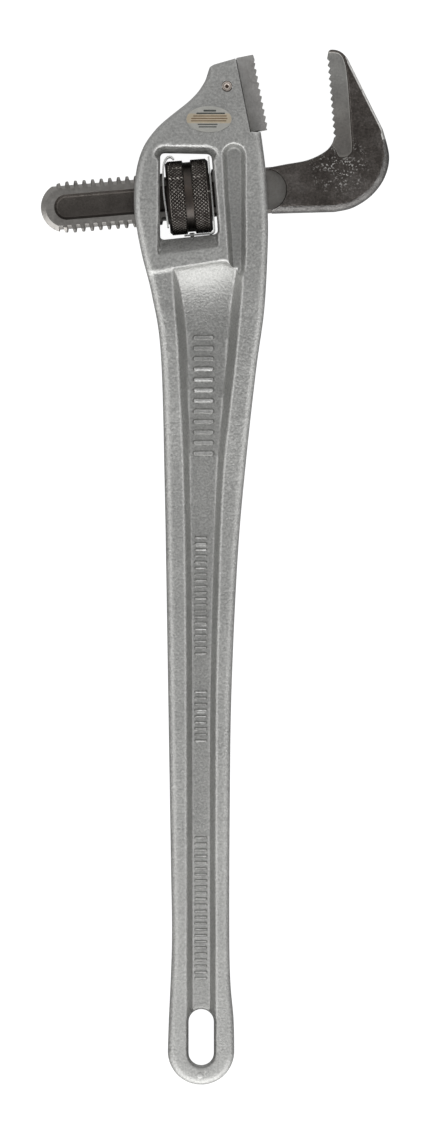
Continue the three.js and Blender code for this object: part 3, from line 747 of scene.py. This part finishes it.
def casting_height(loops):
    outline, window, hole, web, groove, sill = loops

    def height(points):
        x, y = points.T
        cheek = HEAD_HALF - TAPER * softplus(y - TAPER_Y, 2.0)
        rise = BACK_RISE + (FRONT_RISE - BACK_RISE) * ease((x - 12) / 16)
        flange = GRIP_HALF + rise * ease((y - GRIP_END) / SHOULDER)
        foot = -42.5 + 0.16 * (x + 10)          # where the cheek steps down
        base = flange + (cheek - flange) * ease((y - foot + 2.0) / 2.6)
        base = base + waviness(points, 14.0, 0.12)
        base = base - quarter_round(distance(outline, points), OUTER_ROUND)

        ramp = WEB_HALF + RAMP_RISE * np.exp(np.minimum(0, (y - foot) / RAMP_LENGTH))
        for middle, level, half, radius in bars():
            near = np.flatnonzero(abs(y - level) < radius + 0.2)
            across = np.maximum(abs(x[near] - middle) - half, 0)
            off = radius - np.hypot(across, y[near] - level)
            ramp[near] += BAR_RISE * ease((off + 0.1) / 0.7)
        mark = MARK[2] - np.hypot(x - MARK[0], y - MARK[1])
        base = base + MARK_RISE * ease((mark + 0.1) / 0.7)
        wall = base - WEB_WALL * softplus(depth(web, points) - 0.5, 0.5)
        face = np.minimum(base, smooth_max(ramp, wall, 2.2))

        wall = base - GROOVE_WALL * softplus(depth(groove, points) - 0.3, 0.4)
        face = smooth_min(face, smooth_max(np.full(len(x), GROOVE_FLOOR), wall, 1.4), 0.5)

        # The window's edge is drafted, widest above it; below it lies a plane slope.
        draft = DRAFT + TOP_DRAFT * ease((y - 20) / 5)
        lip = face - LIP * softplus(draft - distance(window, points), 0.35)
        slope = base - SILL_SLOPE * softplus(y + 32.9 - 0.135 * x, 0.35)
        side = base - SILL_SIDE * softplus(depth(sill, points) - 0.3, 0.3)
        face = smooth_min(lip, smooth_max(slope, side, 0.6), 0.5)
        return face - quarter_round(distance(hole, points), 2.0)

    return height


def casting():
    outline = resample(np.vstack([
        spline(BACK_EDGE)[:-1], arc(*EYE, 180, 360)[:-1], spline(FRONT_EDGE), BEYOND_SEAT]), 0.9)
    window = resample(round_corners(WINDOW, 3), 0.7)
    x, y, width, length = HANG_HOLE
    reach = (length - width) / 2
    hole = resample(capsule(x, y - reach, y + reach, width / 2), 0.7)
    web = resample(np.vstack([
        spline(WEB_BACK)[:-1], arc(7.25, -504.5, 8.85, 180, 360)[:-1], spline(WEB_FRONT),
        [(19.5, -37.8)]]), 0.8)
    groove = resample(np.vstack([
        arc(*GROOVE_TOP, 0, 180), spline(GROOVE_BACK), GROOVE_END, spline(GROOVE_FRONT)]), 0.6)
    sill = resample(round_corners(SILL, 4), 0.6)

    curves = parallels(outline, 1.0, 0.12, 0.4, 0.8, 1.3, 2.0, 2.8, 3.7, 4.6, 5.4)
    curves += parallels(window, 0.7, -0.08, -0.25, -0.5, -0.9, -1.4, -2.0, -2.7, -3.4)
    curves += parallels(web, 1.0, -1.2, -0.5, 0, 0.4, 0.9, 1.5, 2.2, 3, 3.8, 4.7, 5.6, 6.5)
    short = parallels(groove, 0.8, -1, -0.4, 0.1, 0.6, 1.1, 1.7, 2.4, 3.1, 3.8, 4.5)
    short += parallels(sill, 0.8, -0.8, -0.2, 0.4, 1.0, 1.8)
    curves += [trim(curve, distance(window, curve[0]) > 0.5) for curve in short]
    curves += parallels(hole, 0.7, -0.05, -0.2, -0.45, -0.75, -1.1, -1.6, -2.1)
    insets = (-0.1, 0.25, 0.6)
    rounds = [
        lying_capsule(x, y, half, radius - inset, 0.55)
        for x, y, half, radius in bars() for inset in insets]
    x, y, radius = MARK
    rounds += [arc(x, y, radius - inset, 0, 350, 0.5) for inset in insets]
    curves += [(points, np.full(len(points), True)) for points in rounds]

    def solid_at(points):
        return inside(outline, points) & ~inside(window, points) & ~inside(hole, points)

    curves = [trim(curve, solid_at(curve[0])) for curve in curves]
    free = np.vstack([
        grid_points((-34, -525), (50, -60), 1.8, curves),
        grid_points((-34, -60), (50, 90), 1.3, curves)])
    height = casting_height((outline, window, hole, web, groove, sill))
    piece = relief_body(
        "handle_casting", [outline, window, hole], curves, free[solid_at(free)], height, 0.12)

    # Machined: the heel jaw's seat and shoulder, the tongue's slot and the pin's hole.
    seat = [(0, 0), (30, -6), (30, 60), (0, 60)]
    combine(piece, moved(prism(seat, -40, 40), HEEL_IN_TOOL))
    tongue = prism(rectangle(-12.8, 8.7, 2, 39.3), -6.3, 6.3)
    combine(piece, moved(tongue, HEEL_IN_TOOL))
    t, s, radius = HEEL_PIN
    bore = lathe("tool", [
        (0, -30), (9, -24.05), (radius + 0.35, -17.6), (radius + 0.2, -17.3),
        (radius + 0.2, 17.3), (radius + 0.35, 17.6), (9, 24.05), (0, 30)], 48)
    combine(piece, moved(bore, HEEL_IN_TOOL @ Matrix.Translation((t, s, 0))))
    # The shank's slot on both sides of the window, and the coil's bore under it.
    back = round_corners(rectangle(-18.5, -8.2, 18.5, 8.2), 2)
    front = round_corners(rectangle(-18, -13.5, 22.5, 13.5), 3)
    combine(piece, moved(along_u(prism(back, -50, -8)), SHANK_IN_TOOL))
    combine(piece, moved(along_u(prism(front, 12, 60)), SHANK_IN_TOOL))
    bore = rod(COIL_BORE, 10, 38.2, 32)
    down = Matrix.Translation((COIL_X, 0, 0)) @ Matrix.Rotation(math.pi / 2, 4, "X")
    combine(piece, moved(bore, down))
    smooth(piece, 40)
    settle(piece, TO_TOOL, "handle", "handle", [CAST])


# -------------------------------------------------------------------------- heel jaw

def heel_jaw():
    outline = [(JOINT, 0), (HEEL_FACE - 0.6, 0)]
    for i in range(HEEL_TIPS):
        tip = FIRST_TIP + TOOTH_PITCH * i
        outline += [
            (HEEL_FACE - TOOTH_DEPTH, tip - 2.95), (HEEL_FACE - TOOTH_DEPTH + 0.12, tip - 2.6),
            (HEEL_FACE - 0.12, tip - 0.2), (HEEL_FACE, tip)]
    outline += [
        (HEEL_FACE - TOOTH_DEPTH, tip + 1), (HEEL_FACE, tip + 2),
        (HEEL_FACE - 0.4, HEEL_LENGTH), (JOINT, HEEL_LENGTH)]
    piece = bevelled(prism(outline, -HEEL_HALF, HEEL_HALF, "heel_jaw_block"), 0.22)
    root = prism(rectangle(0.03, 0.8, 1, HEEL_LENGTH - 0.8), -11.2, 11.2)
    combine(piece, root, "UNION")
    tongue = bevelled(prism(rectangle(-12.5, 9, 1, 39), -6, 6), 0.5)
    combine(piece, tongue, "UNION")
    t, s, radius = HEEL_PIN
    combine(piece, moved(rod(radius + 0.2, -20, 20, 48), Matrix.Translation((t, s, 0))))
    smooth(piece, 30)
    settle(piece, TO_HEEL, "heel_jaw", "handle", [JAW])


def heel_pin():
    """A hollow-ended pin, its rims rolled over."""
    t, s, r = HEEL_PIN
    half = 17.1
    end = [(0, 1.5), (0.35, 1.42), (0.75, 1.0), (1.05, 0.45), (1.35, 0.12), (1.75, 0.0),
           (2.3, 0.03), (2.7, 0.2), (2.92, 0.5), (r, 1.0)]
    profile = [(a, half - b) for a, b in end]
    profile = [(a, -b) for a, b in profile] + profile[::-1]
    piece = lathe("heel_jaw_rivet", profile, 64)
    x, y, _ = face_centres(piece).T
    # The hollow end's middle takes the dark copper: painted shade in the hollow.
    paint(piece, np.hypot(x, y) < 1.15)
    smooth(piece, 60)
    place = TO_HEEL @ Matrix.Translation((t, s, 0))
    settle(piece, place, "heel_jaw_pin", "handle", [COPPER, DIMPLE_SHADE])


# -------------------------------------------------------------------------- hook jaw

OUTER = np.vstack([
    line((FORGING_START, -13.8), (84.8, -15.9)),
    spline([(84.8, -15.9), (95.8, -14.3), (107.2, -8.2), (115.8, 1.6), (119.6, 14),
            (117.2, 29.8)]),
    line((117.2, 29.8), (101.2, 70)),
    curve_to((101.2, 70), (98.2, 79.2), (90.4, 79.3), 16)])
THROAT = np.vstack([
    spline([(88.3, 27.6), (86.7, 24.1), (83.1, 20.4), (76.9, 17.3), (69.8, 15.3), (58.9, 14.3)]),
    line((58.9, 14.3), (FORGING_START, 13.1))])
BAND = np.vstack([
    [(80, 78.2), (90.3, 78.2)], spline([
        (92.5, 78.1), (95.3, 77.2), (97.4, 74.9), (98.8, 70.0), (99.3, 63.0), (99.4, 57.4),
        (99.2, 42.5), (98.9, 26.9), (98.7, 19.4), (97, 16.5), (94.2, 15.1), (90.8, 15),
        (88.9, 16.8), (87.6, 20.5), (84.0, 24.0)]),
    [(80, 24)]])


def hook_teeth():
    """From the nose down to the throat, with the tips' and valleys' edges broken."""
    points = [(89.2, 78.6), (88.55, 76.2)]
    valley = HOOK_FACE + TOOTH_DEPTH
    for i in range(HOOK_TIPS):
        tip = HOOK_TOP_TIP - TOOTH_PITCH * i
        if i:
            points += [(valley, tip + 2.45), (valley, tip + 2.2)]
        points += [(HOOK_FACE, tip + 0.12), (HOOK_FACE, tip - 0.12)]
    return np.array(points + [(valley, tip - 1.6), (valley, tip - 1.9)])


def hook_height(band):
    outer = np.vstack([[(30, -13.5)], OUTER])
    throat = np.vstack([THROAT, [(30, 12.6)]])
    outer, throat = (
        np.vstack([line(a, b, 0.5) for a, b in zip(c, c[1:])]) for c in (outer, throat))

    def height(points):
        u, v = points.T
        radius = 5.2 - 3.4 * ease((v - 4) / 34)
        drop = quarter_round(distance(outer, points, closed=False), radius)
        drop = np.maximum(drop, quarter_round(distance(throat, points, closed=False), 3.6))
        face = HOOK_HALF - drop + waviness(points, 9.0, 0.2) * ease((u - 60) / 6)
        wall = HOOK_HALF - 3.0 * softplus(depth(band, points) - 0.1, 0.2)
        floor = np.full(len(u), BAND_HALF)
        return smooth_min(face, smooth_max(floor, wall, 0.4), 0.3)

    return height


def forging():
    root = line((FORGING_START, 13.1), (FORGING_START, -13.8))
    outline = np.vstack([OUTER, hook_teeth(), THROAT, root])
    keep = np.linalg.norm(np.roll(outline, -1, axis=0) - outline, axis=1) > 0.05
    outline = outline[keep]
    band = resample(BAND, 0.5)
    curves = parallels(outline, 0.9, 0.15, 0.4, 0.8, 1.3, 2.0, 2.8, 3.7, 4.6, 5.4)
    curves += parallels(band, 0.7, -0.5, -0.2, 0.05, 0.3, 0.6, 0.9)
    curves = [trim(c, inside(outline, c[0])) for c in curves]
    free = grid_points((47, -17), (121, 81), 1.2, curves)
    free = free[inside(outline, free) & (distance(outline, free) > 0.3)]
    height = hook_height(band)
    return relief_body("hook_jaw_forging", [outline], curves, free, height, 0.1)


def thread_radius(u, turn, crest, root=ROOT, widen=0.0):
    """Radius of the right-hand thread's surface at u along it and turn about it."""
    phase = (u / PITCH - turn / (2 * math.pi)) % 1
    off = np.minimum(phase, 1 - phase) * PITCH
    top, foot = CREST_WIDTH / 2 + widen, ROOT_WIDTH / 2 + widen
    return crest - (crest - root) * ease((off - top) / (foot - top))


def shank():
    """The threaded bar, milled flat on both sides and rounded off at its free end."""
    arc_turns = np.radians(np.linspace(-46, 46, 36))
    sparse = np.radians([58, 74, 90, 106, 122])
    turns = np.concatenate([arc_turns, sparse, arc_turns + math.pi, sparse + math.pi])
    rows = []
    for u in np.append(np.arange(RACK_START, RACK_LAST, 0.22), [RACK_LAST, MILL[0] + 15]):
        worn = 0.16 * noise((u / 7, 3.1, 0.2))
        if u < RACK_LAST - 0.5:
            r = thread_radius(u, turns, CREST - 0.15 + worn)
            # The last threads run out into the plain bar.
            r = r + (PLAIN_RADIUS - r) * ease((u - RACK_LAST + 4) / 3.4)
        else:
            r = np.full(len(turns), PLAIN_RADIUS)
        rows.append(np.column_stack([np.full(len(turns), u), r * np.cos(turns), r * np.sin(turns)]))
    piece = skin("shank", rows)
    end, inner = (arc(-72.9, 0, r, 97, 263, r * 0.035) for r in (14.7, 11.9))
    loops = [(np.vstack([ring, rectangle(-60, -17, 70, 17)]), z) for ring, z in (
        (inner, -FLAT_HALF), (end, -4.2), (end, 4.2), (inner, FLAT_HALF))]
    combine(piece, loft("tool", loops), "INTERSECT")

    def groove():
        wall = [(7.7, 5.0), (7.7, 0.1), (7.5, -0.15), (6.3, -2.3), (5.9, -2.65), (5.3, -2.8)]
        loops = []
        for radius, rise in wall:
            z = FLAT_HALF + rise
            upright = capsule(0, -20.0, 72.2, radius, radius * 0.08)
            loops.append((np.column_stack([-upright[:, 1], upright[:, 0]]), z))
        return loft("tool", loops)

    return combine(piece, mirrored(groove))


def hook_jaw():
    piece = forging()

    def mill():
        u, v, radius = MILL
        z = FLAT_HALF - 0.03            # a little deeper, so that no two faces coincide
        profile = [(0, z), (radius - 0.5, z), (radius, z + 0.4), (radius + 0.3, 20), (0, 20)]
        return moved(lathe("tool", profile, 80), Matrix.Translation((u, v, 0)))

    combine(piece, mirrored(mill))
    combine(piece, shank(), "UNION")
    band = resample(BAND, 0.5)
    centres = face_centres(piece)
    facing = abs(np.array([face.normal.z for face in piece.data.polygons]))
    u, v, z = centres.T
    ground = (u < FORGING_START) | (
        (np.hypot(u - MILL[0], v - MILL[1]) < MILL[2]) & (abs(z) < FLAT_HALF + 0.1))
    along = np.clip(u, -72.2, 20)
    groove = (np.hypot(u - along, v) < 7.42) & (abs(z) < FLAT_HALF - 0.05) & (u < 28)
    milled = inside(band, centres[:, :2]) & (abs(z) < BAND_HALF + 0.25)
    toothed = (u < HOOK_FACE + TOOTH_DEPTH + 0.1) & (v > 28) & (facing < 0.5)
    # Rounded faces along the outer rim take the lighter oxide: painted highlight.
    rim = (distance(OUTER, centres[:, :2], closed=False) < 6.5) & ~milled
    rim &= (distance(band, centres[:, :2]) > 0.9) & (facing < 0.96)
    # The upper back edge takes the light steel: painted highlight.
    worn = rim & (v > 24) & (u > 96)
    paint(piece, np.select(
        [groove, ground & (u > 0), ground, worn, milled | toothed, rim], [3, 4, 1, 5, 2, 6], 0))
    smooth(piece, 38)
    settle(piece, TO_SHANK, "hook_jaw", "hook",
           [OXIDE, GROUND, BAND_STEEL, FLOOR_OXIDE, MILLED, BACK_EDGE_HIGHLIGHT, LIT_RIM_OXIDE])


# --------------------------------------------------------------------- adjusting nut

KNURLS = 62                   # diamonds round the nut
KNURL_LENGTH = 2.4
KNURL_DEPTH = 0.65
WAIST_HALF, WAIST_DROP = 2.1, 1.25
CHAMFER = 1.6


def nut():
    """Two knurled bands and a plain waist outside, and the shank's thread inside."""
    around = KNURLS * 10
    turn = np.linspace(0, 2 * math.pi, around, endpoint=False)
    rows = []

    def row(u, radius):
        r = np.broadcast_to(radius, turn.shape)
        rows.append(np.column_stack([np.full(around, u), r * np.cos(turn), r * np.sin(turn)]))

    for u in (-NUT_HALF, -NUT_HALF + 0.02):
        row(u, NUT_RADIUS - CHAMFER - 0.02 + (u + NUT_HALF))
    for u in np.linspace(-NUT_HALF + 0.3, NUT_HALF - 0.3, 110):
        a = KNURLS * turn / (2 * math.pi) + u / KNURL_LENGTH
        b = KNURLS * turn / (2 * math.pi) - u / KNURL_LENGTH
        pyramid = np.minimum(*(1 - abs(2 * (g % 1) - 1) for g in (a, b)))
        band = ease((abs(u) - WAIST_HALF - 0.5) / 0.3) * ease((NUT_HALF - CHAMFER - abs(u)) / 0.3)
        groove = KNURL_DEPTH * band * (1 - np.minimum(1.5 * pyramid, 1))
        chamfer = max(0.0, abs(u) - (NUT_HALF - CHAMFER))
        waist = WAIST_DROP * (1 - ease((abs(u) - WAIST_HALF) / 0.5))
        row(u, NUT_RADIUS - chamfer - waist - groove)
    row(NUT_HALF - 0.02, NUT_RADIUS - CHAMFER)
    row(NUT_HALF, NUT_RADIUS - CHAMFER - 0.02)
    row(NUT_HALF, CREST + 1.4)
    for u in np.linspace(NUT_HALF, -NUT_HALF, 80):
        lead = max(0.0, abs(u) - NUT_HALF + 1.0)
        row(u, thread_radius(u, turn, CREST + 0.4, ROOT + 0.4, 0.25) + 0.8 * lead)
    row(-NUT_HALF, CREST + 1.4)
    piece = skin("knurled_nut", rows, ring=True)
    u, y, z = face_centres(piece).T
    paint(piece, (abs(u) < WAIST_HALF + 0.5) & (np.hypot(y, z) > 19))
    smooth(piece, 50)
    settle(piece, TO_SHANK, "adjusting_nut", "nut", [NUT, WAIST])


# --------------------------------------------------------------------------- springs

def leaf_strip(name, path):
    """A strip of spring steel with rolled edges, along a path drawn in (u, v)."""
    section = round_corners(
        rectangle(-LEAF / 2, -LEAF_HALF, LEAF / 2, LEAF_HALF), 0.14, 4)
    along = np.gradient(path, axis=0)
    along /= np.linalg.norm(along, axis=1)[:, None]
    normal = np.column_stack([-along[:, 1], along[:, 0]])
    across, z = section.T
    return skin(name, [
        np.column_stack([p[0] + across * n[0], p[1] + across * n[1], z])
        for p, n in zip(path, normal)])


def shank_slot(piece, u, low, high):
    """Cuts the slot through which the shank passes, its corners rounded."""
    slot = round_corners(rectangle(low, -LEAF_SLOT_HALF, high, LEAF_SLOT_HALF), 1.5)
    combine(piece, along_u(prism(slot, u - 10, u + 10)))


def flat_spring():
    face, foot, bend = 13.42, -22.52, 2.6
    path = np.vstack([
        line((face, 22.6), (face, foot + bend), 0.8)[:-1],
        curve_to((face, foot + bend), (face, foot), (face - bend, foot), 8)[:-1],
        line((face - bend, foot), (-4.6, foot), 0.8)])
    piece = leaf_strip("flat_spring_leaf", path)
    shank_slot(piece, face, -17.6, 17.2)
    for side in (-1, 1):
        z = sorted((side * 4, side * 30))
        combine(piece, prism(rectangle(face - 43, foot - 10, face - 3, foot + 10), *z))
    combine(piece, moved(rod(1.4, -40, 40, 24), Matrix.Rotation(math.pi / 2, 4, "X")))
    smooth(piece, 35)
    settle(piece, TO_SHANK, "flat_spring", "carrier", [SPRING])


def return_leaf():
    path = spline([
        (-7.2, 22.8), (-8.6, 24.3), (-10.6, 24.2), (-12.3, 22.4), (-13.6, 19),
        (-14.2, 13), (-14.6, 5.5), (-14.5, -0.5), (-14.1, -8), (-13.75, -17)], 0.7)
    piece = leaf_strip("return_leaf_strip", path)
    shank_slot(piece, -13.4, -40, 17.2)
    smooth(piece, 35)
    settle(piece, TO_SHANK, "return_leaf", "carrier", [SPRING])


def coil_spring():
    top, length, radius, wire, turns = -24.4, 13.0, 3.3, 0.45, 6
    ring = np.linspace(0, 2 * math.pi, 12, endpoint=False)
    rows = []
    for t in np.linspace(0, 1, turns * 28):
        # The end turns lie closer together, as on a ground spring.
        y = top - wire - (length - 2 * wire) * ease(t * 0.9 + 0.05)
        turn = 2 * math.pi * turns * t
        out = np.array([math.cos(turn), 0, math.sin(turn)])
        offset = np.outer(np.cos(ring), out) + np.outer(np.sin(ring), (0, 1, 0))
        rows.append(np.array([COIL_X, y, 0]) + radius * out + wire * offset)
    piece = smooth(skin("coil_spring_wire", rows), 60)
    settle(piece, TO_TOOL, "coil_spring", "handle", [SPRING])


def spring_rivet():
    under, over = -NUT_RADIUS - GAP - 0.7, -NUT_RADIUS + 0.1
    profile = [
        (0, under - 3), (0.7, under - 2.95), (1.0, under - 2.7), (1.1, under - 2.4), (1.1, over),
        (1.8, over), (1.78, over + 0.14), (1.5, over + 0.38), (1.0, over + 0.56),
        (0.5, over + 0.63), (0, over + 0.65)]
    piece = smooth(lathe("spring_leaf_rivet", profile, 40), 50)
    # Its axis, built along z, lies along v.
    place = TO_SHANK @ Matrix.Rotation(-math.pi / 2, 4, "X")
    settle(piece, place, "spring_rivet", "carrier", [SPRING])


# ----------------------------------------------------------------------------- label

def oval_label():
    """An oval of crowned foil with a tan band and plain printed bars."""
    x, y, half_length, half_height = LABEL
    slope = math.atan(TAPER)
    z = HEAD_HALF - (y - TAPER_Y) * TAPER + GAP + 0.2
    place = TO_TOOL @ Matrix.Translation((x, y, z)) @ Matrix.Rotation(-slope, 4, "X")
    turn = np.linspace(0, 2 * math.pi, 96, endpoint=False)
    rim = np.column_stack([half_length * np.cos(turn), half_height * np.sin(turn)])
    levels = [(0.97, -0.42), (1.0, -0.3), (1.0, -0.16), (0.985, -0.1), (0.96, -0.09)]
    levels += [(k, -0.09 + 0.12 * (1 - k * k)) for k in np.linspace(0.94, 0.02, 30)]
    piece = loft("foil_label", [(rim * k, z) for k, z in levels])
    # Printed bars: middle, half length and half height.
    prints = [
        (0.5, 5.0, 3.2, 0.55), (1.0, 3.4, 8.0, 0.45), (0.6, 1.8, 9.6, 0.3),
        (0.2, 0.35, 10.4, 0.3), (-0.2, -1.1, 10.2, 0.3), (-0.8, -3.2, 5.6, 0.32),
        (-0.8, -4.7, 5.0, 0.32)]
    _, height, z = face_centres(piece).T
    paint(piece, (abs(height - 0.4) < 2.9) & (z > -0.12))
    for i, (x, y, reach, half) in enumerate(prints):
        crown = -0.09 + 0.12 * (1 - (x / half_length) ** 2 - (y / half_height) ** 2)
        bar = prism(lying_capsule(x, y, reach, half, 0.25), -0.3, crown + 0.045)
        paint(bar, [3 if 2 <= i <= 4 else 2] * len(bar.data.polygons))
        bar.data.materials.append(FOIL)
        combine(piece, bar, "UNION")
    smooth(piece, 30)
    settle(piece, place, "oval_label", "handle", [FOIL, TAN, INK, BROWN])


casting()
heel_jaw()
heel_pin()
hook_jaw()
nut()
flat_spring()
return_leaf()
coil_spring()
spring_rivet()
oval_label()


# ----------------------------------------------------------------------- floor and lights

IMAGE = (441, 1125)
DATUM_IN_IMAGE = (189, 197)
PIXEL = 0.59 * MM             # what one picture element covers at the wrench
LENS_MM = 500
SENSOR_MM = 36


def area_light(name, position, target, width, height, glow):
    """A soft box whose face shines with radiance glow, unseen by the camera."""
    data = bpy.data.lights.new(name, "AREA")
    data.shape = "RECTANGLE"
    data.size, data.size_y = width, height
    data.energy = glow * math.pi * width * height
    light = bpy.data.objects.new(name, data)
    bpy.context.scene.collection.objects.link(light)
    light.location = position
    light.rotation_mode = "QUATERNION"
    light.rotation_quaternion = (Vector(target) - Vector(position)).to_track_quat("-Z", "Y")
    light.visible_camera = False


def floor():
    """A pale floor that glows, so that it stays even under the wrench."""
    corners = [(x, y, 0) for x, y in rectangle(-30, -30, 30, 30)]
    piece = make_object("floor", corners, [(0, 1, 2, 3)])
    piece.location.z = cad_low.z - 0.0002
    material = bpy.data.materials.new("pale_floor")
    material.use_nodes = True
    for key, value in (
            ("Base Color", (0.2, 0.2, 0.2, 1)), ("Roughness", 0.9), ("Specular IOR Level", 0.0),
            ("Emission Color", (1, 1, 1, 1)), ("Emission Strength", 0.97)):
        material.node_tree.nodes["Principled BSDF"].inputs[key].default_value = value
    piece.data.materials.append(material)
    piece.visible_glossy = False
    piece.visible_diffuse = False
    piece.visible_shadow = False


def camera():
    data = bpy.data.cameras.new("camera")
    cam = bpy.data.objects.new("camera", data)
    bpy.context.scene.collection.objects.link(cam)
    bpy.context.scene.camera = cam
    data.lens = LENS_MM
    data.sensor_width = SENSOR_MM
    data.sensor_fit = "AUTO"
    far = IMAGE[1] * PIXEL / SENSOR_MM * LENS_MM
    # The picture's middle, from the datum.
    x = (IMAGE[0] / 2 - DATUM_IN_IMAGE[0]) * PIXEL
    y = (DATUM_IN_IMAGE[1] - IMAGE[1] / 2) * PIXEL
    cam.location = DATUM + Vector((x, y, far))


def studio():
    """Grey light from above, darker from below, lighter from +Y, bright and low from -Y."""
    world = bpy.data.worlds.new("studio")
    bpy.context.scene.world = world
    world.use_nodes = True
    n = Nodes(world.node_tree, "Generated")
    split = n.add("SeparateXYZ", {0: n.place})

    def graded(axis, *ends):
        return n.graded(split.outputs[axis], *ends, interpolation_type="SMOOTHSTEP")

    def joined(operation, a, b):
        return n.add("Math", {0: a, 1: b}, operation=operation).outputs[0]

    above = graded("Z", -0.3, 0.9, 0.16, 0.28)
    back = graded("Y", 0.08, 0.55, 0.0, 0.46)
    front = graded("Y", 0.1, -0.7, 0.0, 2.2)
    low_down = graded("Z", 0.85, 0.35, 0.0, 1.0)
    level = graded("Z", -0.5, -0.15, 0.2, 1.0)
    band = joined("MULTIPLY", front, joined("MULTIPLY", low_down, level))
    light = joined("ADD", joined("ADD", above, back), band)
    n.tree.links.new(light, n.tree.nodes["Background"].inputs["Color"])


floor()
camera()
studio()
middle = (cad_low + cad_high) / 2
area_light("left", (-1.0, middle.y - 0.2, 0.75), middle, 1.7, 0.5, 1.5)
area_light("right", (1.0, middle.y, 0.75), middle, 1.9, 0.5, 1.0)
area_light("low", (0, -1.7, 0.30), middle, 1.4, 0.7, 1.15)
area_light("grip", (0, -0.42, 0.5), (0, -0.26, 0), 0.5, 0.35, 1.2)
bpy.context.scene.view_settings.view_transform = "Standard"
